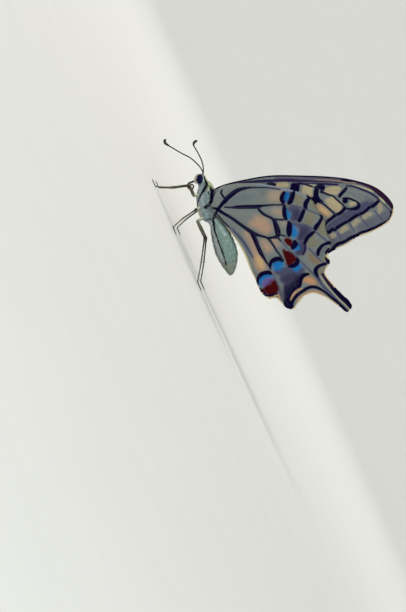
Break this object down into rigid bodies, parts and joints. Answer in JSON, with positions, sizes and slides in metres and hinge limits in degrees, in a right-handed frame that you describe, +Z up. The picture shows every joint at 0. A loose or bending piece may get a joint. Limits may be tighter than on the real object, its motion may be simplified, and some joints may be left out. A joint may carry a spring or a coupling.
{
  "type": "old world swallowtail butterfly",
  "caption": "Life-size swallowtail butterfly standing on its legs with its tailed wings closed over its back and its feelers spread.",
  "frame": {"origin": "floor level under the middle of the insect's outer box, the floor being the plane that its six feet stand on", "axes": "+Z up; the head points to -X and the tails of the hindwings to +X; the left side faces -Y"},
  "size_m": [0.0526, 0.0172, 0.0475],
  "materials": {
    "wing": "matt overlapping scales",
    "body_hair": "short soft hair",
    "abdomen": "fine flat scales",
    "eye": "glossy faceted dome",
    "horn": "dark horn with fine scales",
    "leg": "straw to black, finely scaled"
  },
  "bodies": {
    "root": {"head": "body_hair", "thorax": "body_hair", "abdomen": "abdomen", "eye_left": "eye", "eye_right": "eye", "palp_left": "body_hair", "palp_right": "body_hair", "proboscis": "horn", "antenna_left": "horn", "antenna_right": "horn", "forewing_left": "wing", "forewing_right": "wing", "hindwing_left": "wing", "hindwing_right": "wing", "leg_fore_left": "leg", "leg_fore_right": "leg", "leg_mid_left": "leg", "leg_mid_right": "leg", "leg_hind_left": "leg", "leg_hind_right": "leg"}
  },
  "joints": []
}
